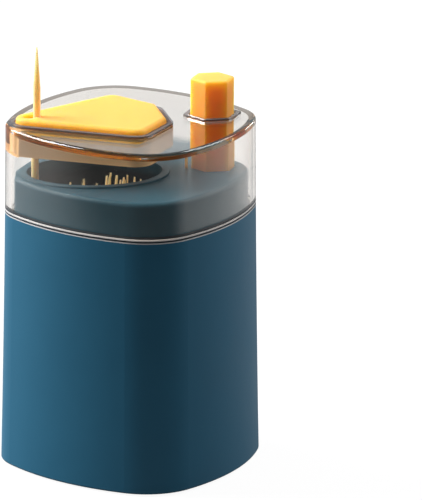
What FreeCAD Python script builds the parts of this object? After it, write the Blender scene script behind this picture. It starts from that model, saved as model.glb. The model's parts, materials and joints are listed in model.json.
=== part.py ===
import FreeCAD, Part
import math
import os
import re
import Sketcher

# Toothpick dispenser with a push button, in millimetres
# +Z is up, the origin is under the middle of the base, +X runs from the pick hole to the button
# A press on the button turns a rocker lever, which lifts a carriage whose finger raises one pick

# Driving sizes: name, value, what it measures
SIZES = [
    ("HalfLength", 31.2, "outline, middle to the corner under the button"),
    ("HalfWidth", 34.0, "outline, middle to the side corner"),
    ("LongCorner", 12.5, "radius of the two corners on X"),
    ("WideCorner", 14.6, "radius of the two corners on Y"),
    ("SideRound", 56.6, "radius of the four bowed sides"),
    ("FootShare", 1.036, "outline at the foot against the outline at the seam"),
    ("WaistShare", 1.021, "outline at the waist against the outline at the seam"),
    ("LidTopShare", 0.994, "outline at the lid's roof against the outline at the seam"),
    ("FitGap", 0.2, "gap between seated pieces"),
    ("SlideGap", 0.3, "gap between sliding pieces"),
    ("Overrun", 1.0, "how far a cut runs past the face it opens"),
    # Body shell
    ("ShellFoot", 0.4, "height of the shell's lower rim"),
    ("WaistHeight", 22.0, "height where the shell starts to flare"),
    ("ShellTop", 63.4, "height of the shell's upper rim"),
    ("ShellWall", 2.0, "wall of the shell"),
    ("ShellEdge", 0.5, "round of its lower edge"),
    ("LedgeTop", 57.0, "height of the ledge that carries the deck"),
    ("LedgeThick", 1.6, "thickness of that ledge"),
    ("LedgeReach", 1.3, "how far that ledge stands in from the wall"),
    ("BossRadius", 2.8, "screw boss"),
    ("BossTop", 13.0, "height of the screw bosses"),
    ("BossInset", 2.9, "gap from a boss's middle to the inside of the wall"),
    ("WebThick", 1.6, "web between a boss and the wall"),
    # Base
    ("BaseFoot", 0.8, "height of the base plate's underside"),
    ("BaseThick", 2.4, "thickness of the base plate"),
    ("FeetInsetX", 16.7, "rubber feet, in from the corners on X"),
    ("FeetInsetY", 19.0, "rubber feet, in from the corners on Y"),
    ("FootRadius", 3.8, "rubber foot"),
    ("FootSeat", 0.6, "depth of its seat in the base plate"),
    ("FootRound", 0.3, "round of its lower edge"),
    ("ScrewRadius", 1.2, "shank of the base screws"),
    ("ScrewLength", 9.0, "their length"),
    ("HeadRadius", 2.3, "their countersunk heads"),
    ("HeadDepth", 1.3, "depth of the heads"),
    ("SocketRadius", 0.9, "hexagon socket in the heads"),
    # Seam ring
    ("RingLip", 0.3, "height of each of the ring's two lips"),
    ("RingGroove", 0.4, "height of the groove between them"),
    ("GrooveDepth", 0.5, "depth of that groove"),
    # Deck
    ("DeckInset", 2.5, "deck, in from the outline at the seam"),
    ("DeckWall", 1.3, "skirt of the deck"),
    ("DeckTop", 73.0, "height of the deck"),
    ("DeckThick", 1.6, "thickness of the deck"),
    ("DeckEdge", 1.2, "round of the deck's edge"),
    # Hopper
    ("CupWide", 10.5, "hopper's cup, half width"),
    ("MouthFlare", 0.8, "hopper's mouth, wider than its cup at each end"),
    ("MouthSpread", 3.1, "hopper's mouth, wider than its cup at each side"),
    ("CupWall", 1.2, "wall of the hopper"),
    ("CupFloor", 1.8, "floor of the hopper"),
    ("RimHeight", 0.4, "rim that hangs on the deck"),
    ("RimReach", 0.6, "how far that rim reaches over the deck"),
    ("RimRound", 0.2, "round of that rim"),
    ("LaneWidth", 2.8, "lane for one pick at the end of the hopper"),
    ("LaneDepth", 2.5, "depth of that lane"),
    ("LaneWall", 0.9, "the two ribs beside it"),
    ("LaneGap", 0.2, "gap between a pick in the lane and the end of the cup"),
    # Picks
    ("PickRadius", 0.9, "toothpick"),
    ("PickLength", 65.0, "length of a toothpick"),
    ("PickTaper", 10.0, "length of each pointed end"),
    ("PickPoint", 0.2, "radius of the blunt point"),
    ("PickFoot", 40.0, "height of the raised pick's foot"),
    ("PickPitch", 2.3, "pitch of the stored picks at their feet"),
    # Lid
    ("LidTop", 85.8, "height of the lid's roof"),
    ("LidWall", 1.8, "wall of the lid"),
    ("LidRoof", 2.0, "thickness of the roof"),
    ("LidEdge", 0.8, "round of the roof's edge"),
    ("CollarRise", 0.6, "how far the two collars stand above the roof"),
    ("PocketWall", 1.3, "wall round the cover"),
    ("PocketFoot", 79.0, "height of the lower end of that wall"),
    ("PocketLedge", 1.2, "ledge that carries the cover"),
    # Cover over the refill throat
    ("CoverGap", 0.35, "gap round the cover"),
    ("CoverThick", 2.7, "thickness of the cover"),
    ("CoverProud", 1.9, "height of the cover above the roof"),
    ("CoverEdge", 1.1, "round of the cover's edge"),
    ("CoverFootEdge", 0.3, "round of the cover's lower edge"),
    ("PlugDepth", 3.2, "plug under the cover"),
    ("PlugWall", 1.1, "wall of the plug"),
    ("TipReach", 9.1, "point of the cover, before it is rounded, past the raised pick"),
    ("SideShare", 0.783, "cover's point to its side corners, against its length"),
    ("WideShare", 0.461, "half width of the cover, against its length"),
    ("EndInset", 12.7, "end of the cover to the line of the button"),
    ("EndShare", 0.167, "half width of that end, against the cover's length"),
    ("TipRound", 4.0, "round of the cover's point"),
    ("SideCorner", 3.0, "round of its side corners"),
    ("EndCorner", 1.9, "round of its end corners"),
    ("HoleWide", 1.9, "pick hole at its wide end"),
    ("HoleLength", 1.7, "from the pick's line to the hole's wide end"),
    # Button
    ("ButtonInset", 10.9, "line of the button, in from the corner on X"),
    ("ButtonRadius", 5.5, "hexagonal button, middle to corner"),
    ("ButtonTop", 95.5, "height of the button"),
    ("ButtonEdge", 0.6, "round of the button's top"),
    ("ButtonRidge", 0.35, "round of the button's upright edges"),
    ("BoreRadius", 3.5, "bore for the return spring"),
    ("BoreTop", 62.0, "height of the end of the bore"),
    ("ShoeFoot", 31.5, "height of the button's shoe"),
    ("ShoeTop", 40.0, "height of the shoulder that stops the button"),
    ("ShoeLength", 5.4, "shoe, from the line of the button to its outer end"),
    ("ShoeWall", 1.0, "wall of the shoe beyond its slot"),
    ("ShoeWidth", 6.0, "half width of the shoe"),
    ("CollarGap", 0.55, "gap between the button and the lid's collar"),
    ("CollarWall", 1.2, "wall of that collar"),
    ("GuideWall", 1.0, "wall of the button's guide"),
    # Return spring
    ("WireRadius", 0.25, "wire of the spring"),
    ("SpringRadius", 2.65, "spring, middle of the wire"),
    ("SpringTurns", 9.0, "turns of the spring"),
    ("PostRadius", 1.9, "post that carries the spring"),
    ("PostFlange", 3.6, "foot of the post"),
    ("FlangeThick", 1.2, "thickness of that foot"),
    ("SeatRadius", 3.0, "seat of the spring"),
    ("SeatTop", 38.0, "height of the seat"),
    ("SeatThick", 1.0, "thickness of the seat"),
    ("PilotHeight", 5.0, "pilot inside the spring"),
    # Rocker lever
    ("ShaftOffset", 8.8, "lever's shaft, in from the line of the button"),
    ("PivotHeight", 30.0, "height of the lever's shaft"),
    ("ShortArm", 7.33, "shaft to the button's pins"),
    ("PinBeyond", 5.3, "carriage's pins at mid travel, past the middle of the hopper"),
    ("Lift", 32.0, "travel of the carriage"),
    ("ShaftRadius", 1.5, "lever's shaft"),
    ("ShaftPlay", 0.05, "running clearance of shafts"),
    ("HubRadius", 2.4, "hub of the lever"),
    ("HubGap", 0.8, "gap between the hub and the hopper"),
    ("ArmThick", 1.4, "thickness of the arms"),
    ("ArmDepth", 3.8, "depth of the arms"),
    ("ArmGap", 0.4, "gap beside each arm"),
    ("PinRadius", 1.0, "pins of the lever"),
    ("CarriagePlay", 0.65, "play of the carriage's pins up and down"),
    ("ButtonPlay", 0.3, "play of the button's pins up and down"),
    ("PinReach", 1.6, "how far the pins reach into their slots"),
    ("BracketThick", 1.8, "brackets of the shaft"),
    ("BracketLength", 4.5, "half length of the brackets"),
    ("BracketTop", 3.4, "bracket above the shaft"),
    ("ClipRadius", 2.7, "clips on the shaft"),
    ("ClipThick", 0.6, "thickness of the clips"),
    # Carriage
    ("BandGap", 0.4, "gap between the hopper and the carriage"),
    ("BandThick", 1.4, "thickness of the carriage's band"),
    ("BandHeight", 6.0, "height of the band"),
    ("BandEndWall", 2.0, "band beyond its pin slots"),
    ("TongueWide", 2.4, "half width of the tongue that slides in the shell"),
    ("TongueReach", 1.3, "how far the tongue stands out of the band"),
    ("FingerFoot", 6.0, "height of the finger's underside at rest"),
    ("FingerThick", 1.6, "thickness of the finger"),
    ("FingerWide", 1.0, "half width of the finger"),
    ("FingerTipGap", 0.2, "finger, past the far side of the pick"),
    ("RailWall", 1.2, "rails in the shell beside the tongue"),
    ("WallGap", 0.4, "gap between the tongue and the wall at the seam"),
    ("RailGap", 0.5, "gap between the rails and the band"),
]

# Places that follow from the sizes: name, expression, what it is
PLACES = [
    ("BaseTop", "BaseFoot + BaseThick", "top of the base plate"),
    ("RingTop", "ShellTop + RingLip + RingGroove + RingLip", "top of the seam ring"),
    ("LidFoot", "RingTop + FitGap", "lower rim of the lid"),
    ("CollarTop", "LidTop + CollarRise", "top of the two collars"),
    ("CoverTop", "LidTop + CoverProud", "top of the cover"),
    ("CoverFoot", "CoverTop - CoverThick", "underside of the cover"),
    ("LedgeOfLid", "CoverFoot - FitGap", "ledge that carries the cover"),
    ("CupFoot", "BaseTop + FitGap", "underside of the hopper"),
    ("FloorTop", "CupFoot + CupFloor", "floor of the hopper"),
    ("RimTop", "DeckTop + RimHeight", "top of the hopper's rim"),
    ("FeetX", "HalfLength - FeetInsetX", "rubber feet, along X"),
    ("FeetY", "HalfWidth - FeetInsetY", "rubber feet, along Y"),
    ("ButtonX", "HalfLength - ButtonInset", "line of the button"),
    ("PivotX", "ButtonX - ShaftOffset", "line of the lever's shaft"),
    ("HopperNear", "PivotX - HubRadius - HubGap", "hopper's end beside the lever's hub"),
    ("TongueFace", "HalfLength - ShellWall - WallGap", "face of the tongue, towards the pick hole"),
    ("HopperFar", "TongueFace - TongueReach - BandThick - BandGap", "hopper's end beside the carriage"),
    ("HopperOffset", "(HopperFar - HopperNear) / 2", "middle of the hopper, towards the pick hole"),
    ("CupOutLong", "(HopperFar + HopperNear) / 2", "outside of the hopper, half length"),
    ("CupOutWide", "CupWide + CupWall", "outside of the hopper, half width"),
    ("CupLong", "CupOutLong - CupWall", "hopper's cup, half length"),
    ("MouthLong", "CupLong + MouthFlare", "hopper's mouth, half length"),
    ("MouthWide", "CupWide + MouthSpread", "hopper's mouth, half width"),
    ("PickX", "HopperOffset + CupLong - PickRadius - LaneGap", "line of the raised pick"),
    ("CoverTip", "PickX + TipReach", "point of the cover"),
    ("CoverEndX", "ButtonX - EndInset", "end of the cover beside the button"),
    ("CoverLength", "CoverTip + CoverEndX", "length of the cover, before its corners are rounded"),
    ("CoverSideX", "CoverTip - SideShare * CoverLength", "side corners of the cover, towards the pick hole"),
    ("CoverSideY", "WideShare * CoverLength", "half width of the cover"),
    ("CoverEndY", "EndShare * CoverLength", "half width of its end"),
    ("LongArm", "PivotX + HopperOffset + PinBeyond", "shaft to the carriage's pins"),
    ("ButtonStroke", "ShortArm * Lift / LongArm", "travel of the button"),
    ("Tilt", "asin(Lift / (2 * LongArm))", "tilt of the lever at rest"),
    ("ArmIn", "CupOutWide + BandGap + BandThick + ArmGap", "inner side of the long arms"),
    ("ArmOut", "ArmIn + ArmThick", "outer side of the long arms"),
    ("BracketIn", "ArmOut + ArmGap", "inner side of the brackets"),
    ("BracketOut", "BracketIn + BracketThick", "outer side of the brackets"),
    ("InnerArmIn", "ShoeWidth + ArmGap", "inner side of the short arms"),
    ("CarriagePin", "PivotHeight - Lift / 2", "height of the carriage's pins at rest"),
    ("ButtonPin", "PivotHeight + ButtonStroke / 2", "height of the button's pins at rest"),
    ("BandFoot", "CarriagePin - BandHeight / 2", "lower edge of the carriage's band"),
    ("BandTop", "CarriagePin + BandHeight / 2", "its upper edge"),
    ("BandEnd", "PivotX - LongArm * cos(Tilt) + PinRadius + SlideGap + BandEndWall", "end of the band"),
    ("ShoePin", "PivotX + ShortArm * cos(Tilt)", "line of the button's pins at rest"),
    ("ShoeEnd", "ShoePin - PinRadius - ButtonPlay - ShoeWall", "inner end of the shoe"),
    ("HexRadius", "ButtonRadius + SlideGap * 2 / sqrt(3)", "hexagon that the button slides in"),
]

doc = FreeCAD.newDocument("ToothpickDispenser")
sheet = doc.addObject("Spreadsheet::Sheet", "Sizes")
for row, (name, value, note) in enumerate(SIZES, 1):
    sheet.set(f"A{row}", name)
    sheet.set(f"B{row}", str(value))
    sheet.set(f"C{row}", note)
    sheet.setAlias(f"B{row}", name)
doc.recompute()
SHEET_NAMES = [name for name, value, note in SIZES]
SIZE = {name: sheet.get(name) for name in SHEET_NAMES}
UP = FreeCAD.Vector(0, 0, 1)
ALONG_Y = FreeCAD.Rotation(FreeCAD.Vector(1, 0, 0), -90)


def linked(text):
    """Point every name in an expression at the sheet or at the places"""
    def owner(found):
        return ("Sizes." if found.group() in SHEET_NAMES else "Places.") + found.group()

    return re.sub(r"[A-Z]\w*", owner, text)


places = doc.addObject("App::VarSet", "Places")
for name, rule, note in PLACES:
    kind = "App::PropertyAngle" if name == "Tilt" else "App::PropertyFloat"
    places.addProperty(kind, name, "Places", note)
    places.setExpression(name, linked(rule))
    doc.recompute()
    SIZE[name] = float(getattr(places, name))


def bind(made, **links):
    """Bind properties of an object to expressions, with Placement_x for a place"""
    for prop, text in links.items():
        made.setExpression(prop.replace("Placement_", "Placement.Base."), linked(text))
    return made


def block(name, low, high):
    """Box between two corners"""
    made = doc.addObject("Part::Box", name)
    sides = dict(zip(("Length", "Width", "Height"), (f"({b}) - ({a})" for a, b in zip(low, high))))
    return bind(made, **sides, Placement_x=low[0], Placement_y=low[1], Placement_z=low[2])


def rod(name, radius, foot, length, turn=None):
    """Cylinder from the middle of its foot, along Z unless it is turned"""
    made = doc.addObject("Part::Cylinder", name)
    if turn:
        made.Placement.Rotation = turn
    bind(made, Radius=radius, Height=length)
    return bind(made, Placement_x=foot[0], Placement_y=foot[1], Placement_z=foot[2])


def cone(name, low_radius, high_radius, foot, length):
    """Cone frustum along Z"""
    made = doc.addObject("Part::Cone", name)
    bind(made, Radius1=low_radius, Radius2=high_radius, Height=length)
    return bind(made, Placement_x=foot[0], Placement_y=foot[1], Placement_z=foot[2])


def hexagon(name, radius, foot, length):
    """Hexagonal prism along Z with a corner towards +X"""
    made = doc.addObject("Part::Prism", name)
    made.Polygon = 6
    return bind(made, Circumradius=radius, Height=length,
                Placement_x=foot[0], Placement_y=foot[1], Placement_z=foot[2])


def fuse(name, *pieces):
    """Union of solids"""
    made = doc.addObject("Part::MultiFuse", name)
    made.Shapes = list(pieces)
    return made


def cut(name, base, *tools):
    """Solid less other solids"""
    made = doc.addObject("Part::Cut", name)
    made.Base = base
    made.Tool = tools[0] if len(tools) == 1 else fuse(name + "_tools", *tools)
    return made


def common(name, base, tool):
    """What two solids share"""
    made = doc.addObject("Part::Common", name)
    made.Base = base
    made.Tool = tool
    return made


def extrude(name, profile, length):
    """Solid straight up from a closed profile"""
    made = doc.addObject("Part::Extrusion", name)
    made.Base = profile
    made.DirMode = "Normal"
    made.Solid = True
    return bind(made, LengthFwd=length)


def loft(name, *sections):
    """Solid through closed sections"""
    made = doc.addObject("Part::Loft", name)
    made.Sections = list(sections)
    made.Solid = True
    made.Ruled = len(sections) == 2
    return made


def offset(name, profile, distance):
    """Profile moved outwards by a distance, inwards if it is negative"""
    made = doc.addObject("Part::Offset2D", name)
    made.Source = profile
    return bind(made, Value=distance)


def oval(name, along_x, along_y, height):
    """Ellipse round the hopper's middle; its longer way turns to Y where that half is the larger"""
    made = doc.addObject("Part::Ellipse", name)
    made.Placement.Rotation = FreeCAD.Rotation(UP, 1)
    turn = f"({along_x}) < ({along_y}) ? 90 : 0"
    bind(made, MajorRadius=f"max({along_x}; {along_y})", MinorRadius=f"min({along_x}; {along_y})")
    return bind(made, Placement_x="-HopperOffset", Placement_z=height, **{"Placement.Rotation.Angle": turn})


def rounded(name, solid, radius, wanted):
    """Round the edges that a test picks"""
    doc.recompute()
    edges = [number for number, edge in enumerate(solid.Shape.Edges, 1) if wanted(edge)]
    made = doc.addObject("Part::Fillet", name)
    made.Base = solid
    made.Edges = [(number, SIZE[radius], SIZE[radius]) for number in edges]
    return made


def at_height(height):
    """Test for an edge that lies level at a height"""
    return lambda edge: abs(edge.BoundBox.ZMin - height) < 1e-4 and abs(edge.BoundBox.ZMax - height) < 1e-4


def upright(edge):
    """Test for an edge that stands upright"""
    return edge.BoundBox.ZLength > edge.Length / 2


def dimension(sketch, name, constraint, text):
    """Add a named dimension bound to an expression"""
    number = sketch.addConstraint(constraint)
    sketch.renameConstraint(number, name)
    sketch.setExpression("Constraints." + name, linked(text))


def arc(centre, radius, start, end):
    """Arc of a sketch"""
    middle = FreeCAD.Vector(centre[0], centre[1], 0)
    return Part.ArcOfCircle(Part.Circle(middle, UP, radius), start, end)


def outline(name, height, share="", insets=()):
    """Outline of the body: four corner arcs and four bowed sides, all tangent"""
    scale = SIZE[share] if share else 1
    inset = sum(SIZE[each] for each in insets)

    def text(size):
        return size + (f" * {share}" if share else "") + "".join(f" - {each}" for each in insets)

    names = ("HalfLength", "HalfWidth", "LongCorner", "WideCorner", "SideRound")
    half_x, half_y, long_radius, wide_radius, side_radius = (SIZE[each] * scale - inset for each in names)
    long_x = half_x - long_radius
    wide_y = half_y - wide_radius
    # The side arc's centre lies where both corner arcs touch it from inside
    reach = math.hypot(long_x, wide_y)
    to_long = side_radius - long_radius
    to_wide = side_radius - wide_radius
    along = (to_long ** 2 - to_wide ** 2 + reach ** 2) / (2 * reach)
    across = math.sqrt(to_long ** 2 - along ** 2)
    side_x = long_x - (along * long_x + across * wide_y) / reach
    side_y = (along * wide_y - across * long_x) / reach
    start = math.atan2(-side_y, long_x - side_x)
    end = math.atan2(wide_y - side_y, -side_x)
    half = math.pi
    sketch = doc.addObject("Sketcher::SketchObject", name)
    sketch.addGeometry([
        arc((long_x, 0), long_radius, -start, start),
        arc((side_x, side_y), side_radius, start, end),
        arc((0, wide_y), wide_radius, end, half - end),
        arc((-side_x, side_y), side_radius, half - end, half - start),
        arc((-long_x, 0), long_radius, half - start, half + start),
        arc((-side_x, -side_y), side_radius, half + start, half + end),
        arc((0, -wide_y), wide_radius, half + end, 2 * half - end),
        arc((side_x, -side_y), side_radius, 2 * half - end, 2 * half - start),
    ], False)
    link = Sketcher.Constraint
    for number in range(8):
        sketch.addConstraint(link("Tangent", number, 2, (number + 1) % 8, 1))
    for number, axis in ((0, -1), (4, -1), (2, -2), (6, -2)):
        sketch.addConstraint(link("PointOnObject", number, 3, axis))
    for first, second in ((0, 4), (2, 6), (1, 3), (1, 5), (1, 7)):
        sketch.addConstraint(link("Equal", first, second))
    dimension(sketch, "long_corner", link("Radius", 0, long_radius), text("LongCorner"))
    dimension(sketch, "wide_corner", link("Radius", 2, wide_radius), text("WideCorner"))
    dimension(sketch, "side", link("Radius", 1, side_radius), text("SideRound"))
    from_x = f"({text('HalfLength')}) - ({text('LongCorner')})"
    from_y = f"({text('HalfWidth')}) - ({text('WideCorner')})"
    dimension(sketch, "right", link("DistanceX", -1, 1, 0, 3, long_x), from_x)
    dimension(sketch, "left", link("DistanceX", 4, 3, -1, 1, long_x), from_x)
    dimension(sketch, "back", link("DistanceY", -1, 1, 2, 3, wide_y), from_y)
    dimension(sketch, "front", link("DistanceY", 6, 3, -1, 1, wide_y), from_y)
    return bind(sketch, Placement_z=height)


def kite(name, height):
    """Outline of the cover: five corners joined by straight sides, each corner rounded"""
    corners = [
        ("-CoverTip", "0", "TipRound", -SIZE["CoverTip"], 0),
        ("-CoverSideX", "-CoverSideY", "SideCorner", -SIZE["CoverSideX"], -SIZE["CoverSideY"]),
        ("CoverEndX", "-CoverEndY", "EndCorner", SIZE["CoverEndX"], -SIZE["CoverEndY"]),
        ("CoverEndX", "CoverEndY", "EndCorner", SIZE["CoverEndX"], SIZE["CoverEndY"]),
        ("-CoverSideX", "CoverSideY", "SideCorner", -SIZE["CoverSideX"], SIZE["CoverSideY"]),
    ]
    count = len(corners)
    points = [FreeCAD.Vector(x, y, 0) for *texts, x, y in corners]
    bends = []
    for number, point in enumerate(points):
        radius = SIZE[corners[number][2]]
        back = (points[number - 1] - point).normalize()
        on = (points[(number + 1) % count] - point).normalize()
        half = back.getAngle(on) / 2
        centre = point + (back + on).normalize() * (radius / math.sin(half))
        reach = radius / math.tan(half)
        bends.append((point + back * reach, point + on * reach, centre, radius))
    lines = [Part.LineSegment(bends[number][1], bends[(number + 1) % count][0]) for number in range(count)]
    arcs = []
    for first, last, centre, radius in bends:
        start = math.atan2(first.y - centre.y, first.x - centre.x)
        end = math.atan2(last.y - centre.y, last.x - centre.x)
        arcs.append(arc(centre, radius, start, end))
    sketch = doc.addObject("Sketcher::SketchObject", name)
    sketch.addGeometry(lines + arcs, False)
    link = Sketcher.Constraint
    for number in range(count):
        sketch.addConstraint(link("Tangent", count + number, 2, number, 1))
        sketch.addConstraint(link("Tangent", number, 2, count + (number + 1) % count, 1))
    for number, (text_x, text_y, radius, x, y) in enumerate(corners):
        corner = sketch.addGeometry(Part.Point(points[number]), True)
        sketch.addConstraint(link("PointOnObject", corner, 1, number))
        sketch.addConstraint(link("PointOnObject", corner, 1, (number - 1) % count))
        dimension(sketch, f"x{number}", link("DistanceX", -1, 1, corner, 1, x), text_x)
        dimension(sketch, f"y{number}", link("DistanceY", -1, 1, corner, 1, y), text_y)
        dimension(sketch, f"round{number}", link("Radius", count + number, SIZE[radius]), radius)
    return bind(sketch, Placement_z=height)


def boss_places():
    """Middles of the screw bosses: one at each side corner and one under the button"""
    side = "(HalfWidth * WaistShare - ShellWall - BossInset)"
    end = "(HalfLength * WaistShare - ShellWall - BossInset)"
    return [("0", side), ("0", f"-{side}"), (end, "0")]


def boss_webs(foot):
    """Webs that run from the screw bosses into the wall"""
    reach = "BossInset + ShellWall / 2"
    half = "WebThick / 2"
    back, front, end = boss_places()
    return [
        block("web_back", (f"-{half}", back[1], foot), (half, f"{back[1]} + {reach}", "BossTop")),
        block("web_front", (f"-{half}", f"{front[1]} - ({reach})", foot), (half, front[1], "BossTop")),
        block("web_end", (end[0], f"-{half}", foot), (f"{end[0]} + {reach}", half, "BossTop")),
    ]


def body_shell():
    """Sleeve with a flared foot, a ledge for the deck, screw bosses and the carriage's rails"""
    outer = loft("shell_outer", outline("shell_o1", "ShellFoot", "FootShare"),
                 outline("shell_o2", "WaistHeight", "WaistShare"), outline("shell_o3", "ShellTop"))
    edged = rounded("shell_edged", outer, "ShellEdge", at_height(SIZE["ShellFoot"]))
    wall = ("ShellWall",)
    inner = loft("shell_inner", outline("shell_i1", "ShellFoot - Overrun", "FootShare", wall),
                 outline("shell_i2", "WaistHeight", "WaistShare", wall),
                 outline("shell_i3", "ShellTop + Overrun", "", wall))
    below = "(LedgeTop - LedgeThick)"
    ledge_line = outline("ledge_i", f"{below} - Overrun", "", ("ShellWall", "LedgeReach"))
    ledge = cut("ledge", extrude("ledge_out", outline("ledge_o", below, "", ("FitGap",)), "LedgeThick"),
                extrude("ledge_in", ledge_line, "LedgeThick + 2 * Overrun"))
    foot = "(BaseTop + FitGap)"
    extras = [ledge, *boss_webs(foot)]
    for number, (x, y) in enumerate(boss_places()):
        extras.append(rod(f"boss{number}", "BossRadius", (x, y, foot), f"BossTop - {foot}"))
    near = "(TongueWide + SlideGap)"
    far = f"({near} + RailWall)"
    rail_x = "(TongueReach - TongueFace - RailGap)"
    for side, low_y, high_y in (("back", near, far), ("front", f"-{far}", f"-{near}")):
        extras.append(block(f"rail_{side}", ("-HalfLength + FitGap", low_y, foot), (rail_x, high_y, below)))
    hollow = cut("sleeve", edged, inner)
    trimmed = common("inside", fuse("fittings", *extras), outer)
    pilots = [rod(f"pilot{number}", "ScrewRadius", (x, y, "ShellFoot"), "BossTop - ShellFoot + Overrun")
              for number, (x, y) in enumerate(boss_places())]
    return cut("body_shell", fuse("sleeve_fitted", hollow, trimmed), *pilots)


def base_plate():
    """Floor of the housing with countersunk holes and four seats for the rubber feet"""
    edge = ("ShellWall", "FitGap")
    plate = loft("plate", outline("plate_low", "BaseFoot", "FootShare", edge),
                 outline("plate_high", "BaseTop", "FootShare", edge + ("FitGap",)))
    tools = [rod(f"foot_seat{number}", "FootRadius", (x, y, "0"), "BaseFoot + FootSeat")
             for number, (x, y) in enumerate(foot_places())]
    for number, (x, y) in enumerate(boss_places()):
        loose = "ScrewRadius + ShaftPlay"
        tools.append(rod(f"base_hole{number}", loose, (x, y, "ShellFoot"), "BaseFoot + BaseThick"))
        tools.append(cone(f"sink{number}", "HeadRadius + ShaftPlay", loose, (x, y, "BaseFoot"), "HeadDepth"))
    return cut("base_plate", plate, *tools)


def foot_places():
    """Middles of the four rubber feet"""
    return [(f"{side_x}FeetX", f"{side_y}FeetY") for side_x in ("", "-") for side_y in ("", "-")]


def rubber_feet():
    """Four rubber discs set into the base plate"""
    feet = []
    for number, (x, y) in enumerate(foot_places()):
        disc = rod(f"foot_disc{number}", "FootRadius", (x, y, "0"), "BaseFoot + FootSeat")
        feet.append(rounded(f"foot{number}", disc, "FootRound", at_height(0)))
    made = doc.addObject("Part::Compound", "rubber_feet")
    made.Links = feet
    return made


def base_screws():
    """Countersunk screws with a hexagon socket"""
    screws = []
    for number, (x, y) in enumerate(boss_places()):
        shank = rod(f"shank{number}", "ScrewRadius", (x, y, "BaseFoot"), "ScrewLength")
        head = cone(f"head{number}", "HeadRadius", "ScrewRadius", (x, y, "BaseFoot"), "HeadDepth")
        socket = hexagon(f"socket{number}", "SocketRadius", (x, y, "BaseFoot - Overrun"),
                         "HeadDepth + Overrun")
        screws.append(cut(f"screw{number}", fuse(f"screw_whole{number}", shank, head), socket))
    made = doc.addObject("Part::Compound", "base_screws")
    made.Links = screws
    return made


def seam_ring():
    """Ring between the shell and the lid: two lips with a groove between them"""
    levels = [("ShellTop", "RingLip", ()), ("ShellTop + RingLip", "RingGroove", ("GrooveDepth",)),
              ("ShellTop + RingLip + RingGroove", "RingLip", ())]
    layers = [extrude(f"ring_layer{number}", outline(f"ring_o{number}", foot, "", inset), height)
              for number, (foot, height, inset) in enumerate(levels)]
    hole = extrude("ring_hole", outline("ring_i", "ShellTop - Overrun", "", ("ShellWall",)),
                   "RingTop - ShellTop + 2 * Overrun")
    return cut("seam_ring", fuse("ring_whole", *layers), hole)


def deck():
    """Inner collar and deck with the hopper's opening and the button's hole"""
    solid = extrude("deck_solid", outline("deck_o", "LedgeTop", "", ("DeckInset",)), "DeckTop - LedgeTop")
    edged = rounded("deck_edged", solid, "DeckEdge", at_height(SIZE["DeckTop"]))
    room = extrude("deck_room", outline("deck_i", "LedgeTop - Overrun", "", ("DeckInset", "DeckWall")),
                   "DeckTop - DeckThick - LedgeTop + Overrun")
    mouth_line = oval("deck_oval", "MouthLong + CupWall + FitGap", "MouthWide + CupWall + FitGap",
                      "LedgeTop")
    mouth = extrude("deck_mouth", mouth_line, "DeckTop - LedgeTop + Overrun")
    hole = hexagon("deck_hex", "HexRadius", ("ButtonX", "0", "LedgeTop"), "DeckTop - LedgeTop + Overrun")
    return cut("inner_deck", edged, room, mouth, hole)


def hopper_cup():
    """Cup for the picks: a funnel mouth, a lane for one pick and a slot for the carriage's finger"""
    funnel = loft("funnel", oval("funnel_low", "CupOutLong", "CupOutWide", "LedgeTop"),
                  oval("funnel_high", "MouthLong + CupWall", "MouthWide + CupWall", "RimTop"))
    barrel = extrude("barrel", oval("barrel_oval", "CupOutLong", "CupOutWide", "CupFoot"),
                     "LedgeTop - CupFoot")
    rim = extrude("rim", oval("rim_oval", "MouthLong + CupWall + FitGap + RimReach",
                              "MouthWide + CupWall + FitGap + RimReach", "DeckTop"), "RimHeight")
    soft_rim = rounded("rim_edged", rim, "RimRound", at_height(SIZE["RimTop"]))
    funnel_in = loft("funnel_in", oval("funnel_in_low", "CupLong", "CupWide", "LedgeTop"),
                     oval("funnel_in_high", "MouthLong", "MouthWide", "RimTop"))
    above = extrude("above", oval("above_oval", "MouthLong", "MouthWide", "RimTop"), "Overrun")
    bore = extrude("cup_bore", oval("bore_oval", "CupLong", "CupWide", "FloorTop"), "LedgeTop - FloorTop")
    cup = cut("cup_plain", fuse("cup_outer", funnel, barrel, soft_rim), funnel_in, bore, above)
    end = "(-HopperOffset - CupLong)"
    ribs = [block(f"lane_rib{number}", (f"{end} - FitGap", low, "FloorTop - FitGap"),
                  (f"{end} + LaneDepth", high, "LedgeTop"))
            for number, (low, high) in enumerate((("LaneWidth / 2", "LaneWidth / 2 + LaneWall"),
                                                  ("-LaneWidth / 2 - LaneWall", "-LaneWidth / 2")))]
    slot = block("finger_slot",
                 (f"{end} - CupWall - Overrun", "-FingerWide - SlideGap", "FingerFoot - SlideGap"),
                 (f"{end} + FitGap", "FingerWide + SlideGap", "FingerFoot + FingerThick + Lift + SlideGap"))
    kept = common("ribs_kept", fuse("ribs", *ribs), barrel)
    return cut("hopper_cup", fuse("cup_ribbed", cup, kept), slot)


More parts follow.
